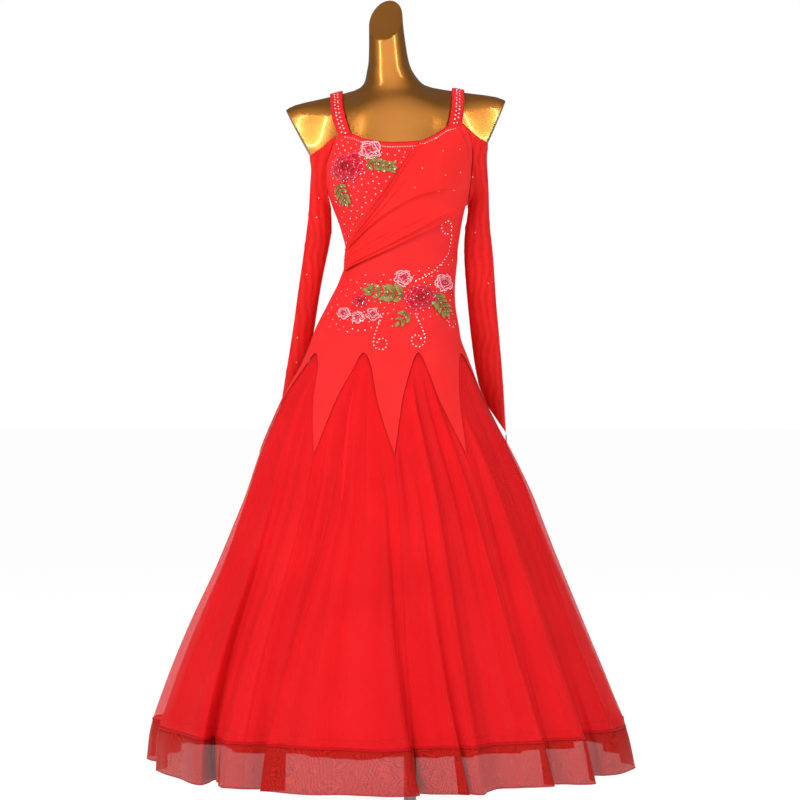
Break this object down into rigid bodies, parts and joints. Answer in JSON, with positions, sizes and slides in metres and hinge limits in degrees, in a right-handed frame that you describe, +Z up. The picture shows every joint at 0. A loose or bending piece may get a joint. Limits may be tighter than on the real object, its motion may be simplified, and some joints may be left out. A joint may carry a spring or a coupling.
{
  "type": "ballroom dance dress on a limbless dress form",
  "caption": "Floor-length ballroom dance dress with draped bodice, open-shoulder mesh sleeves and fluted layered skirt, on a limbless dress form with pole and round base.",
  "frame": {"origin": "centre of the underside of the stand's round base plate", "axes": "+Z up, the front of the dress faces -Y, +X towards the wearer's left"},
  "size_m": [0.8598, 0.8133, 1.4741],
  "materials": {
    "crepe_red": "matte stretch crepe",
    "drape_red": "matte stretch crepe, draped",
    "strap_red": "matte, doubled crepe",
    "mesh_red": "sheer stretch mesh",
    "organza_red": "crisp sheer organza",
    "satin_red": "smooth satin",
    "crinoline_red": "stiff sheer woven band",
    "petal_red": "embroidered",
    "leaf_olive": "metallic embroidery",
    "gold_gloss": "gloss metallic gold lacquer",
    "stand_steel": "satin"
  },
  "bodies": {
    "root": {"bodice_front": "crepe_red", "bodice_back": "crepe_red", "sash_drape": "drape_red", "strap_right": "strap_red", "strap_left": "strap_red", "sleeve_right": "mesh_red", "sleeve_left": "mesh_red", "finger_loop_right": "mesh_red", "finger_loop_left": "mesh_red", "skirt_outer_1": "organza_red", "skirt_outer_2": "organza_red", "skirt_outer_3": "organza_red", "skirt_outer_4": "organza_red", "skirt_outer_5": "organza_red", "skirt_outer_6": "organza_red", "skirt_outer_7": "organza_red", "skirt_outer_8": "organza_red", "skirt_inner_1": "satin_red", "skirt_inner_2": "satin_red", "skirt_inner_3": "satin_red", "skirt_inner_4": "satin_red", "skirt_inner_5": "satin_red", "skirt_inner_6": "satin_red", "skirt_inner_7": "satin_red", "skirt_inner_8": "satin_red", "hem_band_1": "crinoline_red", "hem_band_2": "crinoline_red", "hem_band_3": "crinoline_red", "hem_band_4": "crinoline_red", "hem_band_5": "crinoline_red", "hem_band_6": "crinoline_red", "hem_band_7": "crinoline_red", "hem_band_8": "crinoline_red", "flower_hip_large": "petal_red", "flower_hip_side": "petal_red", "flower_hip_small_1": "petal_red", "flower_hip_small_2": "petal_red", "flower_hip_small_3": "petal_red", "flower_hip_small_4": "petal_red", "flower_hip_top": "petal_red", "flower_peony_upper": "petal_red", "flower_rose_upper": "petal_red", "leaves_hip_1": "leaf_olive", "leaves_hip_2": "leaf_olive", "leaves_hip_3": "leaf_olive", "leaves_upper_1": "leaf_olive", "leaves_upper_2": "leaf_olive", "form_torso": "gold_gloss", "stand_pole": "stand_steel", "stand_base": "stand_steel"}
  },
  "joints": []
}
